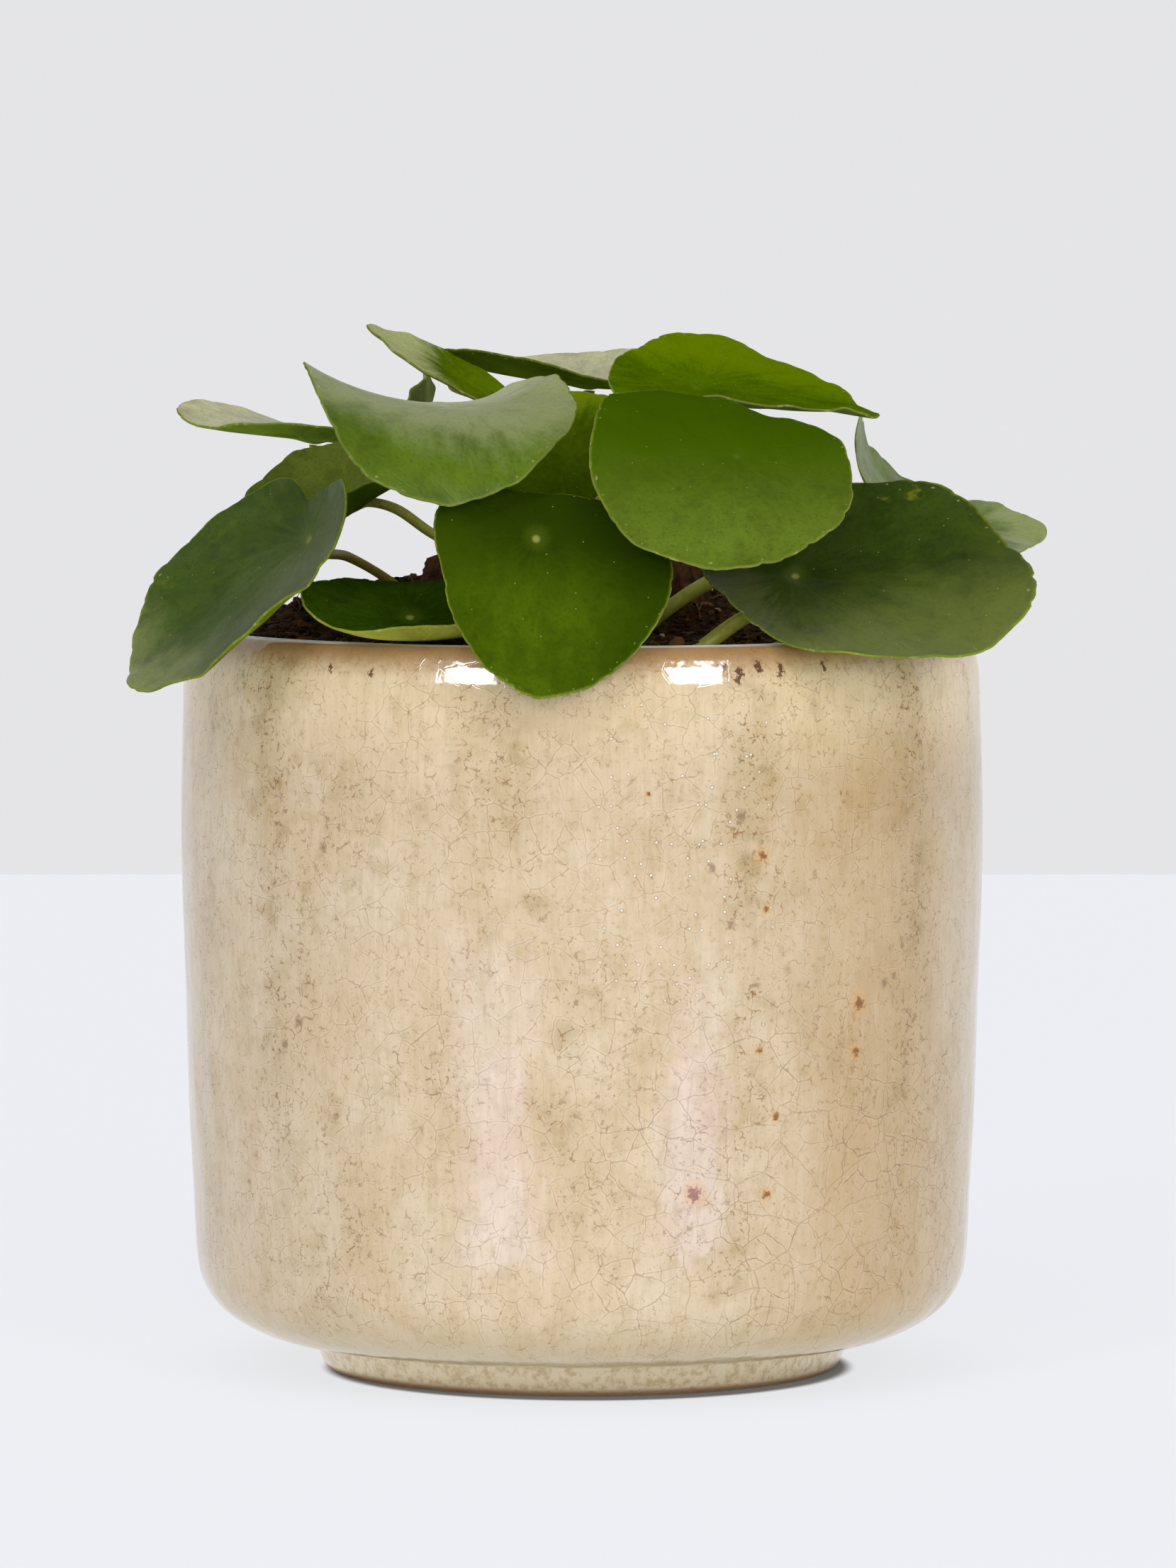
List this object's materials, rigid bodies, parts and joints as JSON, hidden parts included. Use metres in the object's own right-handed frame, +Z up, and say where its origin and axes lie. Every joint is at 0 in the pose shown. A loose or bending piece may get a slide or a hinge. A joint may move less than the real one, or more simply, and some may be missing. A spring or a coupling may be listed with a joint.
{
  "type": "potted pilea plant",
  "caption": "Young round-leaved plant in a filled, glazed round pot; rests on the pot's flat foot and is used as room decoration.",
  "frame": {"origin": "centre of the pot's flat foot, on the face it rests on", "axes": "+Z up along the pot's axis, -Y towards the side seen in the picture, +X to the right of that view"},
  "size_m": [0.1702, 0.1584, 0.1939],
  "materials": {
    "glaze": "gloss",
    "soil": "matte",
    "bark": "matte",
    "leaf": "satin",
    "petiole": "satin"
  },
  "bodies": {
    "root": {"pot": "glaze", "soil": "soil", "stem_main": "bark", "stem_right": "bark", "stem_stub_left": "bark", "leaf_a": "leaf", "leaf_b": "leaf", "leaf_c": "leaf", "leaf_d": "leaf", "leaf_e": "leaf", "leaf_f": "leaf", "leaf_g": "leaf", "leaf_h": "leaf", "leaf_i": "leaf", "leaf_j": "leaf", "leaf_k": "leaf", "leaf_l": "leaf", "leaf_m": "leaf", "leaf_o": "leaf", "petiole_a": "petiole", "petiole_b": "petiole", "petiole_c": "petiole", "petiole_d": "petiole", "petiole_e": "petiole", "petiole_f": "petiole", "petiole_g": "petiole", "petiole_h": "petiole", "petiole_i": "petiole", "petiole_j": "petiole", "petiole_k": "petiole", "petiole_l": "petiole", "petiole_m": "petiole", "petiole_o": "petiole"}
  },
  "joints": []
}
